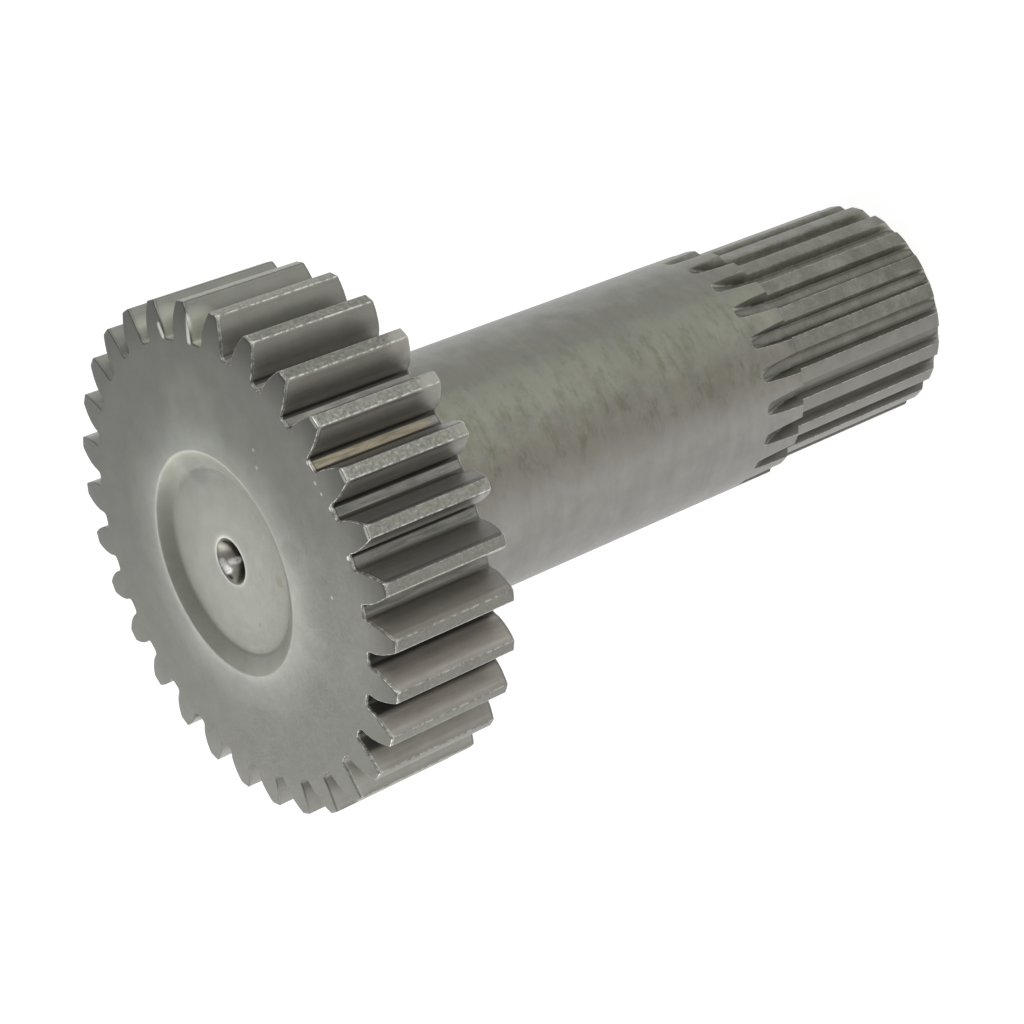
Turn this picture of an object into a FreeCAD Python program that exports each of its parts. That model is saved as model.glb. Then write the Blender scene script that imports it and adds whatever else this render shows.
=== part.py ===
import FreeCAD, Part
import math
import os

from FreeCAD import Vector

# Pinion shaft, all lengths in millimetres and all angles in degrees.
# The shaft stands on its splined end: its axis is Z, the end face lies on Z = 0 and the
# toothed head is at the top. One tooth of the head and one tooth of the spline are
# centred on +X.

# Toothed head, a spur gear cut from the solid
gear_teeth = 30
gear_module = 3.0
gear_pressure_angle = 20.0
gear_addendum_factor = 1.0
gear_dedendum_factor = 1.33
gear_root_round = 1.0
gear_width = 27.0
tip_bevel_depth = 0.8
tip_bevel_reach = 3.5

# Front of the head: a low raised hub round a shallow dished recess
hub_skirt_diameter = 62.0
hub_rim_diameter = 42.0
hub_rise = 0.8
recess_floor_diameter = 35.4
recess_depth = 1.9

# Plain journal between the head and the spline
journal_diameter = 48.0
journal_length = 95.2
journal_fillet = 3.0
shoulder_bevel = 1.2

# Straight-sided spline, whose spaces run out in the journal where the cutter lifts away
spline_teeth = 22
spline_tip_diameter = 45.0
spline_root_depth = 2.0
spline_floor_width = 2.4
spline_flank_angle = 15.0
spline_root_bevel = 0.3
spline_length = 42.3
spline_end_bevel = 1.9
spline_overrun = 11.2
cutter_radius = 32.0

# Centre holes for turning between centres, one in each end
centre_angle = 60.0
centre_mouth_diameter = 8.7
centre_pilot_diameter = 4.0
centre_pilot_depth = 8.0

# Radii that follow from the values above
gear_pitch_radius = gear_module * gear_teeth / 2
gear_tip_radius = gear_pitch_radius + gear_addendum_factor * gear_module
gear_root_radius = gear_pitch_radius - gear_dedendum_factor * gear_module
journal_radius = journal_diameter / 2
spline_tip_radius = spline_tip_diameter / 2
spline_root_radius = spline_tip_radius - spline_root_depth

# Levels along the axis, from the splined end upwards
shoulder_level = spline_length
gear_back_level = shoulder_level + journal_length
gear_front_level = gear_back_level + gear_width
hub_top_level = gear_front_level + hub_rise
recess_floor_level = hub_top_level - recess_depth

# How far a cutting shape reaches past the surface that it opens
clear_past = 1.0


def polar(radius, angle):
    """Point at this radius and angle (radians) in the XY plane."""
    return Vector(radius * math.cos(angle), radius * math.sin(angle), 0)


def gear_space_half_angle(radius):
    """Half the angle that a space of the involute head spans at this radius.

    On the pitch circle, space and tooth are alike: a quarter of the pitch each side.
    Elsewhere the flank turns by the difference of the involute function.
    """
    pressure = math.radians(gear_pressure_angle)
    base_radius = gear_pitch_radius * math.cos(pressure)
    local = math.acos(min(1.0, base_radius / radius))
    turned = (math.tan(local) - local) - (math.tan(pressure) - pressure)
    return math.pi / (2 * gear_teeth) + turned


def arc(points):
    """Edge along the circular arc through three points."""
    return Part.Arc(*points).toShape()


def gear_space_outline(top_radius):
    """Closed outline of one space of the head, centred on +X, from its root upwards.

    Each flank is the arc through three points of the involute, and another arc rounds
    the corner between it and the floor.
    """
    foot_radius = gear_root_radius + gear_root_round
    radii = [foot_radius, (foot_radius + top_radius) / 2, top_radius]
    half = [gear_space_half_angle(r) for r in radii]
    foot = half[0]
    floor_half = max(foot - gear_root_round / gear_root_radius, foot / 4)
    edges = []
    for side in (1, -1):
        flank = [polar(r, side * a) for r, a in zip(radii, half)]
        corner = polar(gear_root_radius, side * foot)
        floor_end = polar(gear_root_radius, side * floor_half)
        middle = (flank[0] + corner * 2 + floor_end) / 4
        edges.append(arc(flank))
        edges.append(arc([flank[0], middle, floor_end]))
    for radius, reach in ((gear_root_radius, floor_half), (top_radius, half[-1])):
        edges.append(Part.makeLine(polar(radius, -reach), polar(radius, reach)))
    return Part.Face(Part.Wire(Part.__sortEdges__(edges)))


def spline_space_outline(top_radius):
    """Closed outline of one space of the spline, centred on +X, from its root upwards.

    The floor is flat, the flanks are straight and lean away from the middle, and a small
    bevel breaks the corner between them.
    """
    lean = math.tan(math.radians(spline_flank_angle))
    floor_half = spline_floor_width / 2
    heights = [0, spline_root_bevel, top_radius - spline_root_radius]
    halves = [floor_half - spline_root_bevel] + [floor_half + lean * h for h in heights[1:]]
    upper = [Vector(spline_root_radius + h, y, 0) for h, y in zip(heights, halves)]
    lower = [Vector(p.x, -p.y, 0) for p in reversed(upper)]
    return Part.Face(Part.makePolygon(upper + lower + upper[:1]))


def ring_of(shape, count, first_angle):
    """Copies of a shape set evenly round the axis."""
    copies = []
    for i in range(count):
        copy = shape.copy()
        copy.rotate(Vector(0, 0, 0), Vector(0, 0, 1), first_angle + i * 360.0 / count)
        copies.append(copy)
    return copies


def turned_blank():
    """The whole shaft as it comes off the lathe, a half section turned about Z."""
    fillet_mid = journal_fillet * (1 - math.sqrt(0.5))
    below_fillet = Vector(journal_radius, 0, gear_back_level - journal_fillet)
    past_fillet = Vector(journal_radius + journal_fillet, 0, gear_back_level)
    mid_fillet = Vector(journal_radius + fillet_mid, 0, gear_back_level - fillet_mid)
    lower = [
        Vector(0, 0, 0),
        Vector(spline_tip_radius - spline_end_bevel, 0, 0),
        Vector(spline_tip_radius, 0, spline_end_bevel),
        Vector(spline_tip_radius, 0, shoulder_level),
        Vector(journal_radius - shoulder_bevel, 0, shoulder_level),
        Vector(journal_radius, 0, shoulder_level + shoulder_bevel),
        below_fillet,
    ]
    upper = [
        past_fillet,
        Vector(gear_tip_radius - tip_bevel_reach, 0, gear_back_level),
        Vector(gear_tip_radius, 0, gear_back_level + tip_bevel_depth),
        Vector(gear_tip_radius, 0, gear_front_level - tip_bevel_depth),
        Vector(gear_tip_radius - tip_bevel_reach, 0, gear_front_level),
        Vector(hub_skirt_diameter / 2, 0, gear_front_level),
        Vector(hub_rim_diameter / 2, 0, hub_top_level),
        Vector(recess_floor_diameter / 2, 0, recess_floor_level),
        Vector(0, 0, recess_floor_level),
        Vector(0, 0, 0),
    ]
    edges = [Part.makeLine(a, b) for a, b in zip(lower, lower[1:])]
    edges.append(Part.Arc(below_fillet, mid_fillet, past_fillet).toShape())
    edges += [Part.makeLine(a, b) for a, b in zip(upper, upper[1:])]
    section = Part.Face(Part.Wire(edges))
    return section.revolve(Vector(0, 0, 0), Vector(0, 0, 1), 360)


def gear_spaces():
    """The straight spaces between the teeth of the head."""
    outline = gear_space_outline(gear_tip_radius + clear_past)
    outline.translate(Vector(0, 0, gear_back_level - clear_past))
    space = outline.extrude(Vector(0, 0, gear_width + 2 * clear_past))
    return ring_of(space, gear_teeth, 180.0 / gear_teeth)


def spline_spaces():
    """The spaces of the spline: straight at full depth, then rising along the cutter's arc.

    The cutter's arc is tangent to the root line and leaves the journal's surface at
    spline_overrun past the shoulder.
    """
    depth = journal_radius - spline_root_radius
    rise_length = math.sqrt(2 * cutter_radius * depth - depth * depth)
    full_depth_level = shoulder_level + spline_overrun - rise_length
    sweep_angle = 1.4 * math.degrees(math.asin(rise_length / cutter_radius))
    outline = spline_space_outline(journal_radius + clear_past)
    outline.translate(Vector(0, 0, full_depth_level))
    straight = outline.extrude(Vector(0, 0, -full_depth_level - clear_past))
    cutter_axis = Vector(spline_root_radius + cutter_radius, 0, full_depth_level)
    rising = outline.revolve(cutter_axis, Vector(0, 1, 0), sweep_angle)
    return ring_of(straight.fuse(rising), spline_teeth, 180.0 / spline_teeth)


def centre_hole():
    """A centre hole whose mouth lies on Z = 0 and which goes down from there."""
    cone_depth = (centre_mouth_diameter - centre_pilot_diameter) / 2
    cone_depth /= math.tan(math.radians(centre_angle / 2))
    mouth_past = clear_past * math.tan(math.radians(centre_angle / 2))
    drill_tip = centre_pilot_diameter / 2 * math.tan(math.radians(90 - centre_angle))
    section = Part.makePolygon([
        Vector(0, 0, clear_past),
        Vector(centre_mouth_diameter / 2 + mouth_past, 0, clear_past),
        Vector(centre_pilot_diameter / 2, 0, -cone_depth),
        Vector(centre_pilot_diameter / 2, 0, -centre_pilot_depth),
        Vector(0, 0, -centre_pilot_depth - drill_tip),
        Vector(0, 0, clear_past),
    ])
    return Part.Face(section).revolve(Vector(0, 0, 0), Vector(0, 0, 1), 360)


def centre_holes():
    """One centre hole in the recess of the head and one in the splined end."""
    front = centre_hole()
    front.translate(Vector(0, 0, recess_floor_level))
    back = centre_hole()
    back.rotate(Vector(0, 0, 0), Vector(1, 0, 0), 180)
    return [front, back]


def pinion_shaft():
    """The blank with its two sets of spaces and its centre holes cut."""
    shaft = turned_blank()
    shaft = shaft.cut(gear_spaces())
    shaft = shaft.cut(spline_spaces())
    return shaft.cut(centre_holes())


os.makedirs("parts", exist_ok=True)
part = pinion_shaft()
solids = part.Solids
print("solids", len(solids), "valid", part.isValid())
print("volume mm3", round(part.Volume), "mass centre", solids[0].CenterOfMass)
print("box", part.BoundBox)
solids[0].exportStep("parts/pinion_shaft.step")
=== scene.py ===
# %% [markdown]
# # A pinion shaft of grey steel
#
# The real thing is one forging: a spur gear head, a long plain journal and a splined end,
# turned on a lathe, cut by gear cutters and hardened. Here the packed solid gives the
# frame and the sizes, and one fine closed skin gives the looks.

import math

import bpy
import numpy as np
from mathutils import Matrix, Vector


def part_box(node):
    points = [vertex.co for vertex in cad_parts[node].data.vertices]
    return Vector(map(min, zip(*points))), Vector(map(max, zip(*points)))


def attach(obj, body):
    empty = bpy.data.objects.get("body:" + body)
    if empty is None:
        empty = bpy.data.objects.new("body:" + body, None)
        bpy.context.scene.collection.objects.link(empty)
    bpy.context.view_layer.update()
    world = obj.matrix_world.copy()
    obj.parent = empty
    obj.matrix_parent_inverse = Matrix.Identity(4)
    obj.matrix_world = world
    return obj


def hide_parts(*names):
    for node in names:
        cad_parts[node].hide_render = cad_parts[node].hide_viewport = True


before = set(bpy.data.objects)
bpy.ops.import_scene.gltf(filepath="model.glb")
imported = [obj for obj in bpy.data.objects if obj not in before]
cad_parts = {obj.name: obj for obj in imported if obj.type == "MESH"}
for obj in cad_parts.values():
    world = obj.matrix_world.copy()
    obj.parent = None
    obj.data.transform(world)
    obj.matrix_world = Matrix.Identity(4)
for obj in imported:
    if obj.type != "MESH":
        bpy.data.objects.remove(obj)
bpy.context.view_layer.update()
low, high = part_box("pinion_shaft")
print("solid from", [round(v, 4) for v in low], "to", [round(v, 4) for v in high])

# %% [markdown]
# ## Sizes
#
# A gear is fixed by a few numbers: how many teeth, how coarse they are (the module) and
# how steep their flanks stand (the pressure angle). All lengths are millimetres, and the
# finished skin is scaled to metres once, at the very end. The overall height and the
# head's radius come from the frame, so nothing can drift.

# %% Sizes of the head in millimetres
MM = 0.001
shaft_top = (high[2] - low[2]) / MM
gear_tip = (high[0] - low[0]) / 2 / MM

gear_teeth, gear_module, gear_pressure = 30, 3.0, math.radians(20)
gear_root, gear_root_round = 41.01, 1.0
hub_rise, gear_width = 0.8, 27.0
gear_front, gear_back = shaft_top - hub_rise, shaft_top - (hub_rise + gear_width)
print("height", round(shaft_top, 2), "head radius", round(gear_tip, 2))

# %% [markdown]
# ## The involute
#
# A tooth flank is the path of a string's end as the string unwinds from a drum, the base
# circle. Drawing it point by point is possible, but there is a formula for how much of
# the circle a tooth space takes up at any radius, and that is all a cutter needs to know.

# %% Width of a tooth space
def space_half_angle(radius):
    """Half the angle of a space between the head's teeth at each radius.

    On the pitch circle it is a quarter of the pitch. Elsewhere the flank has turned by
    the involute (tan t - t) of the flank angle there, less that of the pressure angle.
    """
    base = gear_teeth * gear_module / 2 * math.cos(gear_pressure)
    local = np.arccos(np.minimum(1.0, base / np.asarray(radius, float)))
    turned = np.tan(local) - local - math.tan(gear_pressure) + gear_pressure
    return np.pi / (2 * gear_teeth) + turned


def polar(radius, angle):
    """Points (x, y) from radii and angles."""
    return np.stack([radius * np.cos(angle), radius * np.sin(angle)], -1)


def bend(start, corner, end, share):
    """Points on the parabola that leaves start towards corner and comes into end from it.

    At share t the point is (1-t)^2 start + 2t(1-t) corner + t^2 end.
    """
    t = np.asarray(share, float)[:, None]
    return (1 - t) ** 2 * start + 2 * t * (1 - t) * corner + t ** 2 * end


tip_space = space_half_angle(gear_tip)
print("land of a head tooth", round(2 * gear_tip * (np.pi / gear_teeth - tip_space), 2))

# %% [markdown]
# ## Half a tooth
#
# Half a tooth and half a space are enough: land, broken corner, flank, root round, floor.
# The sharp corner at the tip is replaced by a small bend, because a real edge always has
# a tiny radius and it is that radius that catches the light.

# %% Half a tooth of the head
flank_radii = np.array([47.78, 47.1, 46.3, 45.4, 44.5, 43.7, 42.9, gear_root + gear_root_round])
tip_round = 0.2


def to_polar(points):
    """Radii and angles of points (x, y)."""
    return np.hypot(points[:, 0], points[:, 1]), np.arctan2(points[:, 1], points[:, 0])


def half_head_tooth():
    """Radii and angles from the middle of a tooth's land to the middle of the space."""
    half_pitch = np.pi / gear_teeth
    space = space_half_angle(flank_radii)
    flank = polar(flank_radii, half_pitch - space)
    tip_angle = half_pitch - tip_space
    land_end = polar(gear_tip, tip_angle - tip_round / gear_tip)
    land = polar(gear_tip, np.array([0, 0.55]) * (tip_angle - tip_round / gear_tip))
    corner = polar(gear_tip, tip_angle)
    floor_half = space[-1] - gear_root_round / gear_root
    floor_end = polar(gear_root, half_pitch - floor_half)
    root_corner = polar(gear_root, half_pitch - space[-1])
    return to_polar(np.vstack([
        land, land_end, bend(land_end, corner, flank[0], [0.5]), flank,
        bend(flank[-1], root_corner, floor_end, [1 / 3, 2 / 3]), floor_end,
        polar(gear_root, half_pitch),
    ]))


half_radius, half_angle = half_head_tooth()
print("points of half a tooth", half_radius.size)

# %% [markdown]
# ## All the teeth
#
# The rest of the outline is that half mirrored and repeated thirty times. The same two
# functions serve the spline, and any list of marks that belongs to half a pitch.

# %% Outline of the head
def all_round(values, teeth):
    """Values of half a pitch, mirrored at the space and repeated for every tooth."""
    values = np.asarray(values, float)
    return np.tile(np.concatenate([values[:-1], values[:0:-1]]), teeth)


def all_round_angles(offsets, teeth):
    """Angles of half a pitch, mirrored at the space and turned on from tooth to tooth."""
    pitch = 2 * np.pi / teeth
    one = np.concatenate([offsets[:-1], pitch - offsets[:0:-1]])
    return (np.arange(teeth)[:, None] * pitch + one).ravel()


head_radius = all_round(half_radius, gear_teeth)
head_angle = all_round_angles(half_angle, gear_teeth)
print("points round the head", head_radius.size)

# %% [markdown]
# ## Rings
#
# The whole surface is a stack of closed rings, from the bottom of the centre hole in the
# head, out over its face, down the teeth and the journal, to the centre hole at the other
# end. A ring is a radius, an angle and a level for each of its points. Beside them each
# point carries marks, numbers between 0 and 1 that the material reads later, such as
# whether the point lies on an edge. A tooth's left flank is the one on the left when the
# head is seen from its front with that tooth pointing up.

# %% The stack of rings and its marks
mark_names = ("face", "tooth", "land", "left_flank", "right_flank", "root", "strip", "journal",
              "spline", "valley", "edge", "bare")
rings = []


def add_ring(radius, angle, level, **marks):
    """Puts one ring on the stack, each value spread over all its points."""
    angle = np.asarray(angle, float)
    columns = [np.broadcast_to(np.asarray(marks.get(m, 0.0), float), angle.shape)
               for m in mark_names]
    rings.append((np.broadcast_to(np.asarray(radius, float), angle.shape), angle,
                  np.broadcast_to(np.asarray(level, float), angle.shape),
                  np.stack(columns, -1)))


def circle(radius):
    """Angles of a plain round ring, with fewer points where the ring is small."""
    count = 264 if radius > 6 else 66
    return np.arange(count) * 2 * np.pi / count


print("marks", mark_names)

# %% [markdown]
# ## Turned profiles
#
# Whatever comes off a lathe is a profile turned about the axis. Sharp corners of the
# drawing become short bends, as the turning tool's round nose leaves them, and long
# straight stretches get points in between, so that the faces stay small and even.

# %% Softened and filled profiles
def softened(profile, rounds, steps=3):
    """A (radius, level) profile whose inner corners are bends as long as rounds says."""
    profile = np.asarray(profile, float)
    out = [profile[:1]]
    for before, corner, after, size in zip(profile, profile[1:], profile[2:], rounds):
        reach_in = min(size, np.linalg.norm(before - corner) * 0.45)
        reach_out = min(size, np.linalg.norm(after - corner) * 0.45)
        start = corner + (before - corner) / np.linalg.norm(before - corner) * reach_in
        end = corner + (after - corner) / np.linalg.norm(after - corner) * reach_out
        out.append(bend(start, corner, end, np.linspace(0, 1, steps + 1)))
    out.append(profile[-1:])
    return np.vstack(out)


def filled(profile, step):
    """The same profile with points added so that none are further apart than step."""
    out = [profile[:1]]
    for a, b in zip(profile, profile[1:]):
        parts = max(1, int(np.ceil(np.linalg.norm(b - a) / step)))
        out.append(a + (b - a) * (np.arange(1, parts + 1) / parts)[:, None])
    return np.vstack(out)


print("a softened corner has", len(softened([(0, 0), (1, 0), (1, 1)], [0.2])) - 2, "points")

# %% [markdown]
# ## Front of the head
#
# A 60 degree centre hole, a shallow dished recess, a rim, and a low hub that falls away
# to the flat face make one profile. It starts on the axis, at the bottom of the hole. The
# rim and the hole's mouth get some of the edge mark, which makes them a little smoother
# and gives the mouth a faint outline of painted shade.

# %% Turned front, from the hole to the teeth
hole_mouth, hole_cone, hole_bore, hole_depth, drill_tip = 4.35, 4.07, 2.0, 8.0, 1.155
recess_edge, rim, skirt, plain_edge = 17.7, 21.0, 31.0, 40.3
recess_depth = 1.9
centre_floor = shaft_top - recess_depth
hole_tip = centre_floor - hole_depth - drill_tip


def near(point, middle, reach):
    """A bell: e to the power of minus the square of the distance over the reach."""
    return math.exp(-(math.dist(point, middle) / reach) ** 2)


front_profile = softened(
    [(0, hole_tip), (hole_bore, hole_tip + drill_tip), (hole_bore, centre_floor - hole_cone),
     (hole_mouth, centre_floor), (recess_edge, centre_floor), (rim, shaft_top),
     (skirt, gear_front), (plain_edge, gear_front)],
    [0.1, 0.1, 0.15, 0.5, 0.4, 3.0])
for r, z in filled(front_profile, 1.4)[1:]:
    edge_share = 0.45 * near((r, z), (rim, shaft_top), 0.3)
    edge_share += 0.6 * near((r, z), (hole_mouth, centre_floor), 0.2)
    add_ring(r, circle(r), z, face=1.0, edge=edge_share, bare=float(z < centre_floor - 0.05))
print("rings on the turned front", len(rings))

# %% [markdown]
# ## Ends of the teeth
#
# The end of a tooth falls away a little towards its tip, as the bevel of a real gear
# does. For the rolled edge the outline must move inwards by the same distance all the
# way round. Moving each point square to the line between its two neighbours does that.

# %% Outline moved inwards, and the fall of the tooth ends
edge_round = 0.15
crown_reach, crown_drop = 7.5, 0.8


def moved_in(radius, angle, distance):
    """The outline moved square to itself, into the metal, as radii and angles."""
    points = polar(radius, angle)
    along = np.roll(points, -1, 0) - np.roll(points, 1, 0)
    outward = np.stack([along[:, 1], -along[:, 0]], -1)
    outward /= np.linalg.norm(outward, axis=1)[:, None]
    moved = points - outward * distance
    turn = np.arctan2(moved[:, 1], moved[:, 0]) - angle
    return np.hypot(moved[:, 0], moved[:, 1]), angle + (turn + np.pi) % (2 * np.pi) - np.pi


def face_drop(radius):
    """How far the tooth ends have fallen: the square of the way from crown to tip."""
    crown_start = gear_tip - crown_reach
    return np.maximum(0.0, (radius - crown_start) / (gear_tip - crown_start)) ** 2 * crown_drop


inner_radius, inner_angle = moved_in(head_radius, head_angle, edge_round)
inner_angle = np.maximum.accumulate(inner_angle)
print("the ends fall by", crown_drop, "and the inner outline starts at", round(inner_radius.min(), 2))

# %% [markdown]
# ## From the face to the edge
#
# The flat face has to meet the star-shaped outline of the teeth. Each point of the
# outline gets its own row of points on the way out, which stops short where a space
# begins. The edge itself is rolled over by a tenth and a half of a millimetre: the
# outline is first moved inwards, across the surface, and then let out again while it
# sinks, as a quarter circle does.

# %% Rings of the tooth ends
star_limits = (40.55, 41.5, 42.5, 43.5, 44.25, 44.75, 45.6, 46.5, 47.3)


def star_rings(level, direction):
    """Rings from the plain face to the rolled edge, in the order from the axis outwards."""
    made = []
    for j, limit in enumerate(star_limits):
        r = np.minimum(limit, inner_radius - 0.02 * (len(star_limits) - j))
        made.append((r, inner_angle, level - direction * face_drop(r), 0.0))
    for roll, edge in ((0, 0.5), (30, 1.0), (60, 1.0), (90, 0.5)):
        left = edge_round * (1 - math.sin(math.radians(roll)))
        r, a = moved_in(head_radius, head_angle, left)
        sunk = face_drop(r) + edge_round * (1 - math.cos(math.radians(roll)))
        made.append((r, a, level - direction * sunk, edge))
    return made


for r, a, z, edge in star_rings(gear_front, 1):
    add_ring(r, a, z, face=1.0, edge=edge)
print("rings so far", len(rings))

# %% [markdown]
# ## Sides of the teeth
#
# A spur tooth is the same all along its width, so its sides are the outline let down from
# the front edge to the back edge. Rows lie closer near the two ends, where the nicks are.
# Most marks are a short list, one number for each point of half a pitch.

# %% Tooth sides, land and flank
half_points = len(half_radius)
land_mark = all_round([1, 1, 1, 0.5] + [0] * (half_points - 4), gear_teeth)
corner_mark = all_round([0, 0, 0.5, 1, 0.5] + [0] * (half_points - 5), gear_teeth)
root_mark = all_round([0] * (half_points - 5) + [0.3, 1, 1, 1, 1], gear_teeth)
strip_mark = all_round([0] * (half_points - 2) + [1, 1], gear_teeth)
left_mark = np.tile([0] * 3 + [1] * 11 + [0] * 16, gear_teeth)
right_mark = np.roll(left_mark[::-1], 1)
side_shares = (0.012, 0.03, 0.055, 0.09, 0.14, 0.2, 0.3, 0.4, 0.5, 0.6, 0.7, 0.8, 0.87, 0.92,
               0.96, 0.985)
side_top = gear_front - face_drop(head_radius) - edge_round
side_bottom = gear_back + face_drop(head_radius) + edge_round
for share in side_shares:
    worn = corner_mark if share > 0.02 else np.maximum(corner_mark, 0.75)
    add_ring(head_radius, head_angle, side_top + (side_bottom - side_top) * share,
             tooth=1.0, land=land_mark, left_flank=left_mark, right_flank=right_mark,
             root=root_mark, strip=strip_mark, edge=worn)
for r, a, z, edge in star_rings(gear_back, -1)[::-1]:
    add_ring(r, a, z, face=1.0, edge=edge)
print("rings with the head closed", len(rings))

# %% [markdown]
# ## Back of the head and the journal
#
# The back is a flat face, a fillet of three millimetres and then the long ground journal.
# Again one turned profile, this time from the outside in and then down to the place where
# the first spline spaces open.

# %% Turned back, fillet and journal
journal, journal_fillet = 24.0, 3.0
shoulder, run_out = 42.3, 11.2
turn = np.radians(np.linspace(0, 90, 9))
fillet = np.stack([journal + journal_fillet * (1 - np.sin(turn)),
                   gear_back - journal_fillet * (1 - np.cos(turn))], -1)
back_profile = filled(np.vstack([[(plain_edge, gear_back)], fillet,
                                 [(journal, shoulder + run_out + 0.06)]]), 3.0)
for r, z in back_profile:
    on_face = float(r > journal + journal_fillet - 0.1)
    add_ring(r, circle(r), z, face=on_face, journal=1.0 - on_face)
print("rings with the journal", len(rings))

# %% [markdown]
# ## A space of the spline
#
# Between two teeth of this spline the floor is flat and the walls are straight and lean
# outwards by fifteen degrees, with a small round in the corner. The profile is drawn once,
# higher than any blank, and each blank later cuts it off where it needs to.

# %% Straight profile of a space
spline_teeth, spline_tip, spline_root = 22, 22.5, 20.5
spline_floor_half, spline_flank_lean, spline_root_bend = 1.2, math.tan(math.radians(15)), 0.3


def straight_space():
    """Half of a space's profile, from the middle of its flat floor up its straight flank."""
    floor = np.linspace((spline_root, 0), (spline_root, spline_floor_half - spline_root_bend), 8)
    height = np.linspace(spline_root_bend, journal + 1.2 - spline_root, 40)
    flank = np.stack([spline_root + height, spline_floor_half + spline_flank_lean * height], -1)
    corner = np.array([spline_root, spline_floor_half])
    rounded = bend(floor[-1], corner, flank[0], np.linspace(0.1, 0.9, 9))
    return np.vstack([floor, rounded, flank])


space_profile = straight_space()
print("points of a space's profile", len(space_profile))

# %% [markdown]
# ## The run-out
#
# The cutter that makes a spline is a wheel. It runs straight along the shaft and then
# lifts out of the journal, and its round shape stays in the metal as a curved ramp. A
# point of the straight profile at height x rises to the place where the wheel's circle
# has it, and the land between two spaces ends where that profile meets the blank.

# %% Cross sections of the splined end
mouth_round = 0.12
cutter_radius = 32.0
cutter_axis = spline_root + cutter_radius
full_depth = shoulder + run_out - math.sqrt(
    cutter_radius ** 2 - (cutter_axis - journal) ** 2)
groove_share = np.array([0, 0.12, 0.2, 0.29, 0.38, 0.48, 0.6, 0.72, 0.86, 1.0])
land_share = np.array([0, 0.3, 0.65, 1.0])


def spline_ring(level, blank):
    """Radii and angles of the splined section at one level, for a blank of this radius.

    Each profile point x becomes axis - sqrt((axis - x)^2 - lift^2), the height of the
    cutter's circle after it has travelled lift past its full depth.
    """
    lift = max(0.0, level - full_depth)
    x = cutter_axis - np.sqrt((cutter_axis - space_profile[:, 0]) ** 2 - lift ** 2)
    y = space_profile[:, 1]
    length = np.concatenate([[0], np.cumsum(np.hypot(np.diff(x), np.diff(y)))])
    mouth = np.interp(blank, np.hypot(x, y), length)
    rolled = min(mouth_round, 0.3 * mouth)
    at = np.concatenate([groove_share * (mouth - rolled), [mouth]])
    groove = np.stack([np.interp(at, length, x), np.interp(at, length, y)], -1)
    half_pitch = np.pi / spline_teeth
    mouth_angle = math.atan2(groove[-1, 1], groove[-1, 0])
    land_angle = mouth_angle + rolled / blank
    land = polar(blank, land_angle + (half_pitch - land_angle) * land_share)
    groove[-1] = bend(groove[-2], groove[-1], land[0], [0.5])[0]
    r, a = to_polar(np.vstack([groove, land]))
    return (all_round(r[::-1], spline_teeth),
            all_round_angles(half_pitch - a[::-1], spline_teeth))


print("spaces are at their full depth below", round(full_depth, 2))

# %% [markdown]
# ## Rings where the cutter lifts
#
# In the run-out the section changes from level to level: high up a space is only a
# scratch in the journal, and further down it reaches its full depth. The rings lie closer
# where a space begins, so that its tip stays round.

# %% Where the spaces open in the journal
groove_mark = all_round([0] * 5 + [1] * 10, spline_teeth)
# How much painted shade each point at the foot of a spline wall takes.
valley_mark = all_round([0] * 7 + [0.1, 0.25, 0.45, 0.8, 0.8, 0.3, 0.05, 0], spline_teeth)
left_wall_mark = np.tile([0] * 5 + [1] * 6 + [0] * 17, spline_teeth)
right_wall_mark = np.roll(left_wall_mark[::-1], 1)
mouth_mark = np.tile([0, 0, 0, 0.6, 1, 0.6] + [0] * 22, spline_teeth)


def add_spline_ring(level, blank, worn, spline=1.0):
    """Puts the splined section at one level on the stack, with this much wear at its edges."""
    r, a = spline_ring(level, blank)
    add_ring(r, a, level, journal=1.0 - spline, spline=spline, valley=valley_mark,
             left_flank=left_wall_mark, right_flank=right_wall_mark, edge=mouth_mark * worn)


for rise in (11.19, 11.13, 11.0, 10.8, 10.5, 10.1, 9.5, 8.8, 8.0, 7.1, 6.1, 5.0, 4.0, 3.0, 2.2,
             1.6, 1.3):
    add_spline_ring(shoulder + rise, journal, 0.75, groove_mark)
print("points round the spline", groove_mark.size, "rings so far", len(rings))

# %% [markdown]
# ## Shoulder and splined length
#
# At the shoulder the blank slopes down by a millimetre and a half. The spaces run through
# the slope unbroken, because every ring is cut by the same profile. At the other end the
# teeth are bevelled, and their end faces are rolled over like those of the head.

# %% Shoulder, lands and the bevelled end
shoulder_bevel, spline_bevel = 1.2, 1.9
for rise in (1.14, 1.0, 0.6, 0.2, 0.04):
    add_spline_ring(shoulder + rise, journal - shoulder_bevel + rise - 0.02, 0.6, groove_mark)
for z, blank in ((42.3, 22.72), (42.27, 22.58), (42.2, 22.51)):
    add_spline_ring(z, blank, 0.8)
for z in (42.0, 41.0, 39.0, 37.0, 35.0, 32.0, 28.0, 24.0, 20.0, 16.0, 12.0, 8.0, 5.0, 3.0, 2.1):
    add_spline_ring(z, spline_tip, 0.8)
for z in (1.8, 1.5, 1.2, 0.9, 0.6, 0.3, 0.1):
    add_spline_ring(z, spline_tip - spline_bevel + z, 0.8)
end_radius, end_angle = spline_ring(0.0, spline_tip - spline_bevel + 0.05)
for inset, z, worn in ((0.0, 0.04, 1.0), (0.06, 0.0, 1.0), (0.2, 0.0, 0.0)):
    r, a = moved_in(end_radius, end_angle, inset)
    add_ring(r, a, z, spline=1.0, edge=worn)
for r in (20.1, 19.9):
    add_ring(r, end_angle, 0.0, face=1.0)
print("rings with the spline", len(rings))

# %% [markdown]
# ## The splined end
#
# The end face is flat, with a centre hole like the one in the head.

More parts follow.
